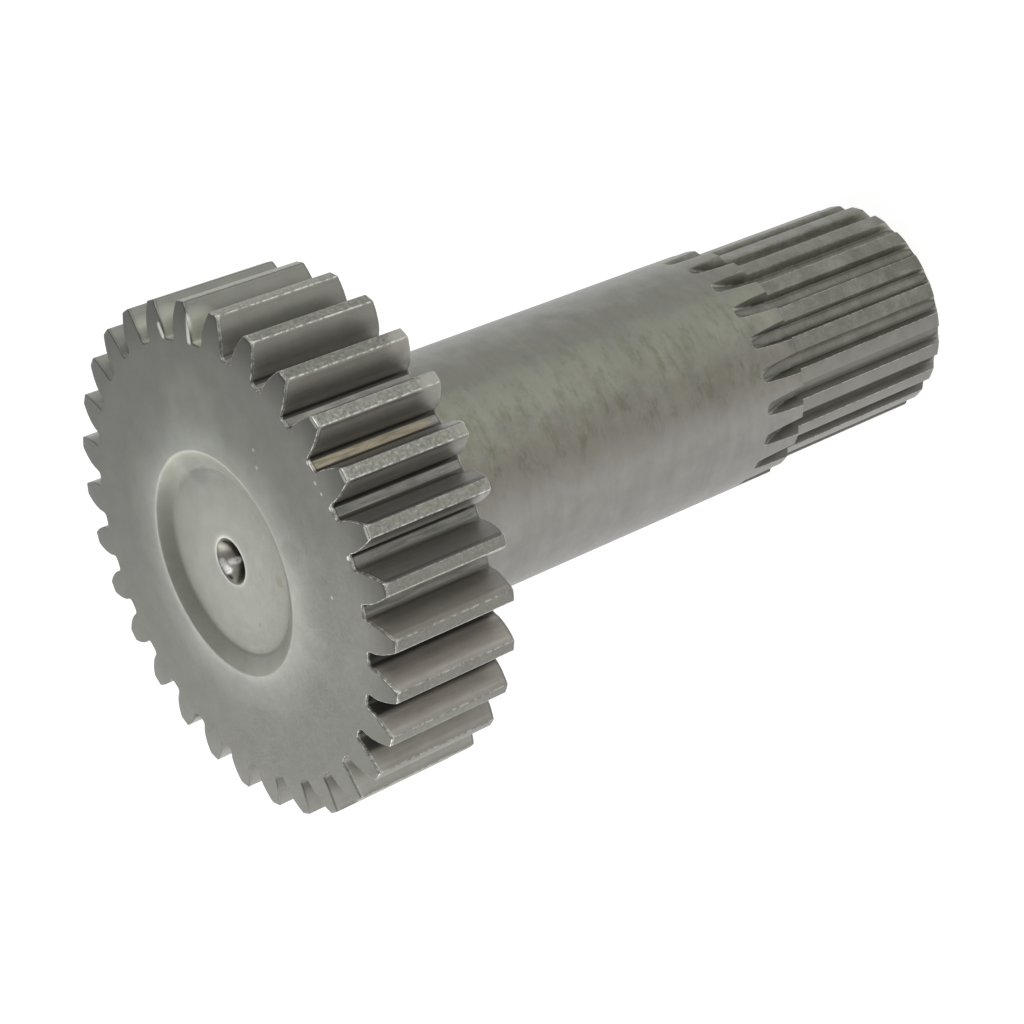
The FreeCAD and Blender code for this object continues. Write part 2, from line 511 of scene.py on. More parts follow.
# %% Turned end face with its centre hole
end_hole_tip = hole_depth + drill_tip
end_profile = softened(
    [(19.6, 0), (hole_mouth, 0), (hole_bore, hole_cone), (hole_bore, hole_depth),
     (0, end_hole_tip)], [0.15, 0.1, 0.1])
for r, z in filled(end_profile, 1.6)[:-1]:
    add_ring(r, circle(r), z, face=1.0, bare=float(z > 0.05))
print("rings in all", len(rings))

# %% [markdown]
# ## From rings to a skin
#
# Two rings with the same number of points are joined by four-sided faces. Where the
# numbers differ, each edge of either ring makes one triangle with the point of the other
# ring that lies at its middle, found by sorting all the edges by angle. That closes any
# pair of rings with no gap and no loop over points. A fan of triangles closes each end.

# %% Faces between the rings
def joined_evenly(first, second, count):
    """Four-sided faces between two rings of the same count, starting at these indices."""
    k = np.arange(count)
    n = (k + 1) % count
    return np.stack([first + k, second + k, second + n, first + n], -1)


def joined_by_angle(first, angle_a, second, angle_b):
    """Triangles between two rings of different counts, one for each edge of either."""
    def middles(angle):
        return angle + np.diff(np.append(angle, angle[0] + 2 * np.pi)) / 2

    middle_a, middle_b = middles(angle_a), middles(angle_b)
    na, nb = angle_a.size, angle_b.size
    ka, kb = np.arange(na), np.arange(nb)
    across_a = np.searchsorted(middle_b, middle_a) % nb
    across_b = np.searchsorted(middle_a, middle_b) % na
    from_a = np.stack([first + ka, second + across_a, first + (ka + 1) % na], -1)
    from_b = np.stack([first + across_b, second + kb, second + (kb + 1) % nb], -1)
    return np.vstack([from_a, from_b])


def fan(pole, first, count):
    """Triangles from one point to every edge of the ring that starts at this index."""
    k = np.arange(count)
    return np.stack([np.full(count, pole), first + k, first + (k + 1) % count], -1)


print("faces of a fan over 66 points", len(fan(0, 1, 66)))

# %% [markdown]
# ## All points and faces
#
# The rings are laid one after another in a single list, with the bottom of each centre
# hole before and after them, so a ring's faces need only the index at which it starts.

# %% Arrays of the skin
def skin_arrays():
    """All points, marks, four-sided faces and triangles of the closed skin."""
    starts = np.cumsum([1] + [angle.size for _, angle, _, _ in rings])
    points = [np.array([(0, 0, hole_tip)], float)]
    points += [np.column_stack([polar(r, a), z]) for r, a, z, _ in rings]
    points.append(np.array([(0, 0, end_hole_tip)], float))
    marks = [rings[0][3][:1]] + [m for _, _, _, m in rings] + [rings[-1][3][:1]]
    quads, triangles = [], []
    for i, ((_, upper, _, _), (_, lower, _, _)) in enumerate(zip(rings, rings[1:])):
        if upper.size == lower.size:
            quads.append(joined_evenly(starts[i], starts[i + 1], upper.size))
        else:
            triangles.append(joined_by_angle(starts[i], upper, starts[i + 1], lower))
    triangles.append(fan(0, 1, rings[0][1].size))
    turned_over = [1, 0, 2]
    triangles.append(fan(starts[-1], starts[-2], rings[-1][1].size)[:, turned_over])
    return np.vstack(points), np.vstack(marks), np.vstack(quads), np.vstack(triangles)


points, marks, quads, triangles = skin_arrays()
print("points", len(points), "triangles", 2 * len(quads) + len(triangles))

# %% [markdown]
# ## The mesh
#
# The arrays go into the mesh in bulk. Faces are shaded smooth, and an edge is kept crisp
# only where the surface turns by more than the rolled edges do.

# %% Mesh of the shaft
crisp_angle = math.radians(34)


def make_piece(name, points, marks, quads, triangles):
    """A mesh object from arrays, in metres, with one float attribute for each mark."""
    mesh = bpy.data.meshes.new(name)
    sizes = np.concatenate([np.full(len(quads), 4), np.full(len(triangles), 3)])
    corners = np.concatenate([quads.ravel(), triangles.ravel()])
    mesh.vertices.add(len(points))
    mesh.vertices.foreach_set("co", (points * MM).astype(np.float32).ravel())
    mesh.loops.add(corners.size)
    mesh.loops.foreach_set("vertex_index", corners.astype(np.int32))
    mesh.polygons.add(sizes.size)
    starts = np.concatenate([[0], np.cumsum(sizes)[:-1]])
    mesh.polygons.foreach_set("loop_start", starts.astype(np.int32))
    mesh.update(calc_edges=True)
    mesh.validate()
    for i, mark in enumerate(mark_names):
        layer = mesh.attributes.new(mark, "FLOAT", "POINT")
        layer.data.foreach_set("value", marks[:, i].astype(np.float32))
    mesh.shade_smooth()
    mesh.set_sharp_from_angle(angle=crisp_angle)
    piece = bpy.data.objects.new(name, mesh)
    bpy.context.scene.collection.objects.link(piece)
    return piece


shaft = make_piece("forged_shaft", points, marks, quads, triangles)
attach(shaft, "root")
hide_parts("pinion_shaft")
print("polygons", len(shaft.data.polygons))

# %% [markdown]
# ## A short way to write nodes
#
# A material in Blender is a graph of nodes, each of which takes numbers or colours in and
# gives one out. Placed by hand, a steel with grime, stains and worn edges is a page full
# of wires. Here each node is one call that returns its output, so the graph reads like a
# sum.

# %% A class that adds nodes
class Nodes:
    """Adds nodes to an emptied tree: each call returns the output, ready for the next."""

    def __init__(self, tree):
        self.tree = tree
        tree.nodes.clear()

    def add(self, kind, *inputs, **settings):
        """A node with its settings, and a link, a value or nothing for each input in turn."""
        node = self.tree.nodes.new(kind)
        for name, value in settings.items():
            setattr(node, name, value)
        for socket, value in zip(node.inputs, inputs):
            if isinstance(value, bpy.types.NodeSocket):
                self.tree.links.new(value, socket)
            elif value is not None:
                socket.default_value = value
        return node.outputs[0]

    def end(self, kind, shader):
        """The output node at the end of the tree, fed by the shader."""
        self.tree.links.new(shader, self.tree.nodes.new(kind).inputs["Surface"])

    def math(self, operation, *inputs):
        return self.add("ShaderNodeMath", *inputs, operation=operation)

    def vector(self, operation, *inputs):
        return self.add("ShaderNodeVectorMath", *inputs, operation=operation)

    def measure(self, operation, *inputs):
        """The number that DISTANCE or DOT_PRODUCT gives for two vectors."""
        return self.vector(operation, *inputs).node.outputs["Value"]

    def count(self, part):
        print("nodes with the", part, len(self.tree.nodes))


print("calls", [name for name in vars(Nodes) if not name.startswith("_")])

# %% [markdown]
# ## Colours
#
# Nodes reckon in linear light, in which half of white is much paler than it looks on a
# screen. Colours are easier to pick on the usual scale from 0 to 255, so one function
# turns them into linear light.

# %% Greys and colours
def grey(value):
    """The same linear value in red, green and blue."""
    return (value, value, value, 1.0)


def srgb(red, green, blue):
    """A colour picked on a 0-255 scale, as the linear light it stands for."""
    parts = np.array([red, green, blue]) / 255
    return (*np.where(parts < 0.04045, parts / 12.92, ((parts + 0.055) / 1.055) ** 2.4), 1.0)


print("grey 128 is linear", round(srgb(128, 128, 128)[0], 3))

# %% [markdown]
# ## Steps that come often
#
# Painting metal is mostly shares between 0 and 1: how much grime, how much wear. They are
# multiplied where all must hold, and the largest is taken where any will do. So these
# steps get names, and so do the fades, the noise and the colour ramp.

# %% Shares, tones and ramps
class Paint(Nodes):
    """Nodes with the steps that painting metal needs again and again."""

    def times(self, first, *others):
        """The product of all the values."""
        for other in others:
            first = self.math("MULTIPLY", first, other)
        return first

    def most(self, first, *others):
        """The largest of all the values."""
        for other in others:
            first = self.math("MAXIMUM", first, other)
        return first

    def one_minus(self, value):
        return self.math("SUBTRACT", 1.0, value)

    def mix(self, share, first, second, blend="MIX"):
        return self.add("ShaderNodeMixRGB", share, first, second, blend_type=blend)

    def toned(self, colour, tone):
        """The colour times a tone, which is a number or a colour."""
        return self.mix(1.0, colour, tone, "MULTIPLY")

    def spread(self, value, low, high, to_low, to_high):
        """The value moved from the first range to the second, and held at its ends."""
        return self.add("ShaderNodeMapRange", value, low, high, to_low, to_high)

    def rise(self, value, low, high):
        return self.spread(value, low, high, 0.0, 1.0)

    def fall(self, value, low, high):
        return self.spread(value, low, high, 1.0, 0.0)

    def noise(self, place, scale, detail, rough):
        return self.add("ShaderNodeTexNoise", place, None, scale, detail, rough)

    def ramp(self, value, *stops):
        """A colour for each value, through (position, linear grey or 0-255 colour) stops."""
        node = self.add("ShaderNodeValToRGB", value).node
        elements = node.color_ramp.elements
        while len(elements) < len(stops):
            elements.new(0.5)
        for element, (position, colour) in zip(elements, stops):
            element.position = position
            element.color = grey(colour) if isinstance(colour, float) else srgb(*colour)
        return node.outputs[0]


print("named steps", [name for name in vars(Paint) if not name.startswith("_")])

# %% [markdown]
# ## Steel
#
# Hardened and oiled steel is a dull grey metal: it mirrors what is around it, but so
# blurred that it looks almost like stone. One material does for the whole skin. It reads
# two things: the place of a point in millimetres, and the marks that the rings left on
# it. So every stain is fixed to the metal, and stays where it is from any side.

# %% Place and marks in the steel
steel = bpy.data.materials.new("oiled_steel")
steel.use_nodes = True
g = Paint(steel.node_tree)
place = g.add("ShaderNodeTexCoord").node.outputs["Object"]
place = g.vector("MULTIPLY", place, (1 / MM,) * 3)
x, y, z = g.add("ShaderNodeSeparateXYZ", place).node.outputs
radius = g.math("SQRT", g.math("ADD", g.times(x, x), g.times(y, y)))
(face, tooth, land, left_flank, right_flank, root, strip, on_journal, on_spline, valley, edge,
 bare) = (g.add("ShaderNodeAttribute", attribute_name=m).node.outputs["Fac"] for m in mark_names)
print("marks read", len(mark_names))

# %% [markdown]
# ## Unevenness
#
# No worn steel is even. A few noises of different grain serve all that follows: soft
# patches, a fine grain, chips for the edges, and patterns drawn out along the shaft, as a
# grinding wheel leaves them, or round it, as handling and a turning bearing do.

# %% Noises that the whole steel shares
def drawn_out(across, along):
    """The place with both directions across the shaft and the one along it scaled apart."""
    return g.vector("MULTIPLY", place, (across, across, along))


broad = g.noise(place, 0.05, 3.0, 0.6)
patches = g.noise(place, 0.22, 3.0, 0.6)
grain = g.noise(place, 1.6, 3.0, 0.65)
fine = g.noise(place, 5.0, 2.0, 0.6)
chips = g.noise(place, 1.1, 4.0, 0.7)
lengthwise = g.noise(drawn_out(1.0, 0.12), 1.6, 3.0, 0.6)
ring_streaks = g.noise(drawn_out(0.12, 1.0), 0.45, 4.0, 0.65)
blotches = g.noise(drawn_out(0.45, 1.0), 0.4, 5.0, 0.72)
mottle = g.mix(0.35, patches, grain)
g.count("noises")

# %% [markdown]
# ## The face of the head
#
# A part that ran against this face rubbed a pale ring round the hub, a little off the
# centre, and the steel grows darker towards the teeth. So the colour is a ramp over the
# radius, whose middle is shifted outside the rim. A dip in the ramp where the recess floor
# meets its wall is painted shade in that corner, and the wall gets painted light, paler
# towards -X and -Y.

# %% Colour of the face
def lightened(colour, share):
    """The colour times one plus the share."""
    return g.toned(colour, g.math("ADD", 1.0, share))


outside_rim = g.rise(radius, 20.8, 23.0)
shift = g.math("ADD", g.times(x, 0.05), g.times(y, 0.07))
shift = g.math("ADD", shift, g.spread(broad, 0.3, 0.7, -1.4, 1.4))
halo_radius = g.math("SUBTRACT", radius, g.times(shift, outside_rim))
# The dark dip at 0.367 is painted shade in the corner at the foot of the recess wall.
face_colour = g.ramp(
    g.math("DIVIDE", halo_radius, 48.0),
    (0.0, (186, 186, 178)), (0.097, (186, 186, 178)), (0.106, (160, 161, 152)),
    (0.18, (159, 160, 151)), (0.27, (153, 154, 146)), (0.34, (147, 148, 140)),
    (0.367, (137, 138, 130)), (0.38, (150, 151, 141)), (0.43, (158, 159, 148)),
    (0.447, (158, 159, 152)), (0.475, (149, 151, 144)), (0.52, (138, 139, 132)),
    (0.58, (127, 128, 121)), (0.66, (117, 117, 111)), (0.96, (117, 117, 111)))
# Painted light on the recess wall, paler towards -X and -Y.
recess_wall = g.times(g.rise(radius, 17.5, 18.0), g.fall(radius, 20.9, 21.3))
wall_light_side = g.math("ADD", g.times(x, -0.04), g.times(y, -0.033))
wall_painted_light = g.spread(wall_light_side, 0.2, 1.0, 0.0, 0.65)
face_colour = lightened(face_colour, g.times(recess_wall, wall_painted_light))
g.count("face")

# %% [markdown]
# ## Specks and stains
#
# A few marks sit at known places of the face: two wide paler patches, two dull ones, small
# bright specks and two brown stains. Each is a ball round a place on the metal, in
# millimetres, and whatever lies inside the ball takes on some of its colour.

# %% Patches, specks and stains on the face
def spots(listed):
    """1 inside any of the listed balls (x, y, z, radius), fading out at their rims."""
    return g.most(*(g.fall(g.measure("DISTANCE", place, middle), 0.6 * size, size)
                    for *middle, size in listed))


pale_spots = spots([(26.5, -13.0, 165.0, 17.0), (7.0, 26.5, 165.0, 11.0)])
face_colour = lightened(face_colour, g.times(pale_spots, outside_rim, 0.16))
dull_places = [(24.3, -0.6, 165.1, 3.0), (0.0, 17.6, 163.4, 4.0)]
speck_places = [(18.56, 1.94, 164.7, 0.8), (31.3, -9.4, 164.5, 0.4), (22.65, 14.9, 164.8, 0.45),
                (38.7, 9.9, 164.5, 0.45), (23.3, 17.9, 164.6, 0.4), (39.4, 7.9, 164.5, 0.35)]
stain_places = [(14.1, -5.2, 163.4, 1.3), (2.2, -12.2, 163.4, 0.5)]
for listed, share, spot_colour in ((dull_places, 0.2, srgb(90, 90, 86)),
                                   (speck_places, 0.5, srgb(206, 206, 198)),
                                   (stain_places, 0.35, srgb(120, 112, 88))):
    face_colour = g.mix(g.times(spots(listed), share), face_colour, spot_colour)
g.count("specks")

# %% [markdown]
# ## Tooth flanks
#
# The flanks get painted light and shade. Left and right flanks have tones of their own,
# each a ramp over y. The tips of the left flanks are painted lighter towards -Y, the deep
# parts of the right flanks lighter towards -Y and darker towards +Y, and all flanks lighter
# near the root, to lift the shade between the teeth. The tones are written at half their
# size, as a ramp's colours go up to 1, and doubled at the end.

# %% Colour of the tooth flanks
across = g.rise(y, -48.0, 48.0)
tooth_colour = g.ramp(lengthwise, (0.3, (119, 116, 109)), (0.7, (127, 124, 117)))
tooth_colour = g.mix(g.rise(y, 24.0, 46.0), tooth_colour, srgb(128, 129, 121))
# Painted light and shade on the left flanks, a ramp over y.
left_flank_light_and_shade = g.ramp(across, (0.08, 0.72), (0.21, 0.8), (0.3, 0.5), (0.4, 0.32), (0.5, 0.3),
                   (0.6, 0.36), (0.7, 0.28), (0.77, 0.33), (0.87, 0.4), (0.93, 0.42))
tip_painted_light = g.times(g.rise(radius, 46.6, 47.2), g.fall(y, -22.0, -14.0))
left_flank_light_and_shade = g.mix(tip_painted_light, left_flank_light_and_shade, grey(0.9))
right_flank_light_and_shade = g.ramp(across, (0.3, 0.85), (0.4, 0.8), (0.46, 0.3), (0.56, 0.52), (0.68, 0.7),
                    (0.77, 0.75), (0.85, 0.57))
# Painted light deep on the right flanks, lighter towards -Y.
deep_flank_painted_light = g.spread(y, -6.0, 2.0, 1.5, 0.5)
right_flank_light_and_shade = g.mix(g.rise(radius, 44.8, 46.4), deep_flank_painted_light, right_flank_light_and_shade)
flank_light_and_shade = g.mix(left_flank, g.mix(right_flank, grey(0.5), right_flank_light_and_shade), left_flank_light_and_shade)
# Painted light near the root, against the shade between the teeth.
root_painted_light = g.spread(radius, 42.0, 43.6, 1.7, 1.0)
flank_light_and_shade = g.toned(flank_light_and_shade, g.times(root_painted_light, 2.0))
tooth_colour = g.toned(tooth_colour, flank_light_and_shade)
g.count("flanks")

# %% [markdown]
# ## Between the teeth
#
# Deep in the spaces the teeth are painted in shade. The root of every space is darkened,
# less so above y of 28, and where y is above about -14 a strip along the middle of the
# floor is left out. Below y of about -18 a painted shadow reaches up the flanks to a radius
# that grows as y falls, and the few spaces at the lowest y are painted pale instead, to
# lift the shade there. The stronger of the two dark shares counts.

# %% Painted shade in the tooth spaces
strip = g.rise(strip, 0.5, 0.85)
lit_floors = g.rise(y, -18.0, -13.5)
# Painted shade at the roots of the spaces.
root_painted_shade = g.times(root, g.one_minus(g.times(strip, lit_floors)),
                   g.spread(y, 28.0, 42.0, 1.0, 0.3))
# Painted shadow up the flanks below y of -18, to a radius that grows as y falls.
grime_top = g.math("MINIMUM", 44.4, g.math("ADD", 37.6, g.times(y, -0.21)))
grime = g.fall(g.math("SUBTRACT", radius, grime_top), -0.5, 0.3)
grime = g.times(grime, g.spread(y, -22.0, -18.0, 0.92, 0.0))
# Painted light: the spaces at the lowest y are painted pale to lift their shade.
spaces_painted_light = g.times(g.fall(x, 17.0, 25.0), g.fall(y, -34.0, -28.0))
space_light_colour = g.mix(g.rise(x, 2.0, 14.0), srgb(146, 145, 138), srgb(172, 171, 164))
space_light_share = g.times(spaces_painted_light, g.spread(radius, 46.0, 47.6, 0.9, 0.2))
tooth_colour = g.mix(space_light_share, tooth_colour, space_light_colour)
painted_shade_share = g.times(g.most(root_painted_shade, grime), g.one_minus(g.times(spaces_painted_light, 0.97)))
# Colours of the painted shade, darkest where y is lowest.
painted_shade_colour = g.mix(g.rise(y, -4.0, 6.0), srgb(104, 101, 92), srgb(62, 60, 52))
painted_shade_colour = g.mix(right_flank, painted_shade_colour, srgb(42, 41, 35))
painted_shade_colour = g.mix(lit_floors, srgb(28, 27, 23), painted_shade_colour)
tooth_colour = g.mix(painted_shade_share, tooth_colour, painted_shade_colour)
g.count("grime")

# %% [markdown]
# ## The strip in the middle of a floor
#
# Where the floors are not in painted shade, a strip runs along the middle of each, streaked
# lengthwise and painted lighter towards +Y. In one space it is brown, as oil gets when it
# bakes on.

# %% Strip along the floors
brown_space = [(39.0, 12.7, level, 5.0) for level in (162, 156, 150, 144)]
strip_stain_and_light = g.mix(spots(brown_space), srgb(130, 130, 122), srgb(142, 134, 113))
strip_stain_and_light = g.toned(strip_stain_and_light, g.spread(lengthwise, 0.35, 0.65, 0.65, 1.25))
# Painted light: the strip grows brighter towards +Y.
strip_stain_and_light = g.toned(strip_stain_and_light, g.spread(y, 0.0, 12.0, 1.05, 1.3))
tooth_colour = g.mix(g.times(strip, lit_floors), tooth_colour, strip_stain_and_light)
g.count("strip")

# %% [markdown]
# ## Lands of the teeth
#
# The land is the narrow outside of a tooth. It touches nothing, so it keeps the rough
# skin of the heat treatment: a speckle of pale and dark grains, plainer towards -Y.
# Between y of about 19 and 44 the lands are painted darker, as shade.

# %% Colour of the lands
land_colour = g.ramp(grain, (0.36, (118, 118, 108)), (0.5, (134, 135, 123)),
                     (0.6, (145, 146, 134)), (0.72, (176, 176, 165)))
land_colour = g.mix(g.spread(y, -14.0, 8.0, 0.75, 0.0), land_colour, srgb(118, 117, 110))
# Painted shade on the lands between y of about 19 and 44.
lands_painted_shade = g.ramp(across, (0.7, 1.0), (0.8, 0.66), (0.9, 0.72), (0.96, 0.95))
land_colour = g.toned(land_colour, lands_painted_shade)
g.count("lands")

# %% [markdown]
# ## The journal
#
# The ground journal carries painted reflections: soft bands of lighter and darker grey
# along it, one beside the other round the shaft, as lamps and dark gaps of a studio would
# mirror in it. They are a ramp over the angle. Across them lie faint streaks and the
# brownish blotches of old oil, drawn out round the shaft and missing on one side.

# %% Colour of the journal
angle_share = g.rise(g.math("ARCTAN2", y, x), -math.pi / 2, math.pi / 2)
angle_share = g.math("ADD", angle_share, g.spread(patches, 0.3, 0.7, -0.03, 0.03))
# Painted reflections: bands of lighter and darker grey over the angle round the shaft.
journal_colour = g.ramp(
    angle_share, (0.16, (131, 130, 125)), (0.29, (137, 135, 130)),
    (0.37, (141, 139, 134)), (0.42, (130, 128, 121)), (0.47, (120, 118, 109)),
    (0.51, (122, 120, 111)), (0.56, (128, 128, 118)), (0.62, (133, 135, 123)),
    (0.69, (127, 129, 118)), (0.73, (116, 117, 108)), (0.78, (116, 116, 109)),
    (0.83, (122, 122, 115)), (0.91, (130, 131, 125)))
journal_colour = g.toned(journal_colour, g.spread(ring_streaks, 0.3, 0.7, 0.95, 1.05))
blotch_tone = g.ramp(blotches, (0.36, (226, 228, 214)), (0.5, 1.0),
                     (0.64, (255, 254, 248)))
blotched = g.ramp(angle_share, (0.4, 0.0), (0.46, 0.9), (0.66, 0.9), (0.76, 0.2))
journal_colour = g.mix(blotched, journal_colour, g.toned(journal_colour, blotch_tone))
clouds = spots([(23.94, -1.7, 67.0, 7.0), (23.2, 6.0, 66.0, 7.0), (22.0, 9.4, 80.0, 8.0)])
journal_colour = g.mix(g.times(clouds, 0.1), journal_colour, srgb(84, 84, 72))
g.count("journal")

# %% [markdown]
# ## The spline
#
# The lands of the spline are the same grey as the journal, mottled, and paler towards -Y
# as painted light. Their walls get painted shade as the flanks do: each side of a tooth has
# a tone of its own, which changes with y. The tones are written at a quarter of their size.
# The valleys at the feet of the walls are painted dark, as shade.

# %% Colour of the spline
spline_colour = g.ramp(mottle, (0.36, (106, 106, 97)), (0.5, (115, 115, 106)),
                       (0.62, (126, 126, 118)))
# Painted light on the spline towards -Y.
spline_colour = g.mix(g.fall(y, -8.0, -1.0), spline_colour, srgb(129, 128, 122))
# Painted shade on the spline walls, a ramp over y for each side.
left_wall_painted_shade = g.ramp(g.rise(y, -spline_tip, spline_tip), (0.05, 0.16), (0.12, 0.18),
                   (0.2, 0.33), (0.5, 0.3), (0.85, 0.3), (0.95, 0.2))
right_wall_painted_shade = g.spread(y, 17.0, 21.0, 0.5, 0.3)
walls_painted_shade = g.mix(left_flank, g.mix(right_flank, grey(0.25), right_wall_painted_shade), left_wall_painted_shade)
spline_colour = g.toned(spline_colour, g.toned(walls_painted_shade, grey(4.0)))
# Painted shade in the valleys at the feet of the walls.
spline_colour = g.mix(g.times(valley, 0.75), spline_colour, srgb(52, 51, 44))
g.count("spline")

# %% [markdown]
# ## One skin
#
# The marks now say which colour goes where, and a light mottle lies over them all.

# %% The colours laid over one another
colour = tooth_colour
for share, painted in ((face, face_colour), (land, land_colour), (on_journal, journal_colour),
                       (on_spline, spline_colour)):
    colour = g.mix(share, colour, painted)
colour = g.toned(colour, g.spread(mottle, 0.3, 0.7, 0.91, 1.09))
g.count("skin")

# %% [markdown]
# ## Painted shade beside the edges, and paler back ends
#
# A thin dark line of painted shade lies just beside the edges of the teeth, where the edge
# mark is only starting to rise, strongest for y between -4 and 14. Four teeth are painted
# paler at their back ends, as a painted reflection of the bright room beyond them.

# %% Painted dark lines and paler back ends
# Painted shade: a thin dark line beside the edges of the teeth.
edge_shade_line = g.ramp(edge, (0.0, 0.0), (0.12, 0.6), (0.3, 0.6), (0.5, 0.0))
edge_shade_line = g.times(edge_shade_line, g.spread(y, -20.0, -4.0, 0.1, 1.0), g.math("SUBTRACT", tooth, land),
                    g.spread(y, 14.0, 30.0, 1.0, 0.12))
colour = g.mix(edge_shade_line, colour, srgb(48, 47, 42))
# Painted reflection: paler back ends of four teeth, broken up by the patches.
scuffs = spots([(38.9, 26.4, 139.0, 4.2), (43.5, 17.7, 139.0, 4.4), (46.3, 8.2, 138.6, 4.0),
                (47.4, -1.4, 138.4, 2.6)])
scuffs = g.times(scuffs, g.spread(patches, 0.4, 0.55, 0.35, 0.85))
colour = g.mix(scuffs, colour, srgb(163, 161, 152))
g.count("scuffs")

# %% [markdown]
# ## Worn and highlighted edges
#
# Corners lose their dark skin first, broken up by chips, and on the journal and the spline
# the worn edges are bright all round. On the head the bright edges are painted highlight on
# the side towards +X, and on the other side the edges get a thin outline of painted shade.
# The corners of the left flanks get painted shade too, except at the front, and those of
# the right flanks a painted highlight towards -Y on the +X side.

# %% Where the edges are worn, highlighted and shaded
# Painted highlight on the edges of the head towards +X.
highlight_side = g.math("SUBTRACT", g.times(x, 0.9), g.times(y, 0.1))
highlight_side = g.rise(highlight_side, 10.0, 19.0)
broken = g.spread(chips, 0.44, 0.58, 0.1, 1.0)
behind_front = g.one_minus(g.rise(z, 162.6, 163.2))
# Painted shade on the corners of the left flanks, behind the front.
corner_shade = g.times(left_flank, behind_front, g.spread(y, -20.0, -8.0, 0.6, 1.0))
# Painted highlight on the corners of the right flanks towards -Y.
right_corner_highlight = g.times(right_flank, g.spread(y, -12.0, -2.0, 0.75, 0.0))
wear = g.times(g.most(highlight_side, on_journal, on_spline), broken, g.one_minus(corner_shade))
wear = g.most(wear, g.times(right_corner_highlight, highlight_side))
on_edge = g.rise(edge, 0.45, 0.9)
# Painted shade: a thin darker outline on the edges away from +X.
outline_shade = g.times(g.one_minus(highlight_side), g.most(face, tooth), on_edge, 0.75)
outline_shade = g.times(outline_shade, g.one_minus(g.times(spaces_painted_light, 0.7)))
colour = g.mix(outline_shade, colour, srgb(82, 81, 75))
colour = g.mix(g.times(corner_shade, edge, 0.8), colour, srgb(52, 51, 46))
g.count("wear")

# %% [markdown]
# ## Nicks and burrs
#
# Knocks leave bright slivers and a few beads at the corners. The fronts of three spaces
# are left open but painted pale, as if metal were pressed into them, which also paints
# light into the shade inside. A sliver is a short straight line, and the distance to it
# says where it shines.

# %% Slivers, beads and filled fronts
def scratch(start, end, size):
    """1 along the straight line from start to end, fading out at this distance from it.

    The share of the way is (point - start) . (end - start) / |end - start|^2, held between
    0 and 1, and the distance is measured to the place on the line at that share.
    """
    along = np.subtract(end, start)
    arm = g.vector("SUBTRACT", place, start)
    share = g.measure("DOT_PRODUCT", arm, tuple(along / (along @ along)))
    foot = g.vector("MULTIPLY", tuple(along), g.rise(share, 0.0, 1.0))
    return g.fall(g.measure("DISTANCE", arm, foot), 0.4 * size, size)


def scratches(listed):
    """1 along any of the listed lines (start, end, size)."""
    return g.most(*(scratch(*line) for line in listed))


# Painted pale fronts of three open spaces, which also paint light into their shade.
filled_fronts_painted_light = spots([(17.7, 39.7, 162.0, 5.0), (9.1, 42.8, 162.0, 4.6), (0.2, 43.6, 162.0, 4.2)])
colour = g.mix(g.times(filled_fronts_painted_light, g.times(tooth, 0.9)), colour, srgb(180, 182, 168))
slivers = scratches([((16.9, 43.6, 164.0), (14.7, 38.7, 164.3), 0.75),
                     ((6.3, 43.2, 164.2), (6.6, 41.2, 164.4), 0.7),
                     ((47.7, -0.9, 163.8), (47.7, 0.9, 163.8), 0.5),
                     ((46.85, 9.05, 163.8), (46.48, 10.8, 163.8), 0.55),
                     ((43.93, 18.7, 163.8), (43.2, 20.3, 163.8), 0.5)])
beads = spots([(0.0, 44.1, 164.3, 0.45), (38.7, 13.4, 164.4, 0.5), (40.6, 5.2, 164.4, 0.5),
               (40.6, -3.4, 164.4, 0.5), (20.1, -10.2, 7.5, 0.4)])
# Worn edges, painted highlights, slivers and beads all take the bright colour.
wear_highlight_and_slivers = g.most(g.times(on_edge, wear), slivers, beads)
colour = g.mix(wear_highlight_and_slivers, colour, srgb(222, 222, 213))
g.count("nicks")

# %% [markdown]
# ## The centre hole
#
# The lathe's centre has polished the cone. The colour is a ramp over the depth that paints
# the drilled bore below it dark, as shade in the hole, with streaks of painted shade in the
# cone and two painted glints.

# %% Colour of the centre hole
depth = g.math("SUBTRACT", centre_floor, z)
# Painted shade: darker with depth into the bore.
hole_colour = g.ramp(g.math("DIVIDE", depth, 10.0), (0.0, (152, 150, 142)),
                     (0.3, (140, 138, 128)), (0.45, (70, 68, 64)), (0.6, (30, 29, 27)))
# Painted shade in streaks across the cone.
cone_shade_streaks = scratches([((-1.3, 3.6, 162.5), (-1.6, 2.6, 161.2), 0.6),
                    ((-1.6, 2.6, 161.2), (-2.4, 0.4, 160.0), 1.0),
                    ((-2.3, 0.2, 160.0), (-1.8, -2.0, 160.4), 0.9),
                    ((-1.8, -2.0, 160.4), (-0.7, -3.7, 162.4), 1.1),
                    ((-4.0, -1.3, 163.1), (-2.7, -3.1, 162.9), 0.4)])
hole_colour = g.mix(g.times(cone_shade_streaks, 0.85), hole_colour, srgb(60, 58, 50))
# Painted highlights: two glints in the cone.
glints = scratches([((-4.1, 0.2, 163.0), (-3.5, -1.7, 162.6), 0.9),
                    ((-3.3, -0.3, 161.6), (-2.6, -0.5, 160.5), 0.8)])
glint_colour = (1.0, 0.99, 0.96, 1.0)
hole_colour = g.mix(g.times(glints, g.spread(grain, 0.35, 0.5, 0.5, 1.0)), hole_colour, glint_colour)
colour = g.mix(bare, colour, hole_colour)
g.count("centre hole")

# %% [markdown]
# ## Gloss and grain
#
# A rougher surface blurs what it mirrors. The face is the roughest, flanks and edges are
# smoother, and the bare cone is close to polished. The flanks are under a film of oil and
# dirt, which takes away from the metallic look. A shallow bump of grain breaks up the
# reflections.

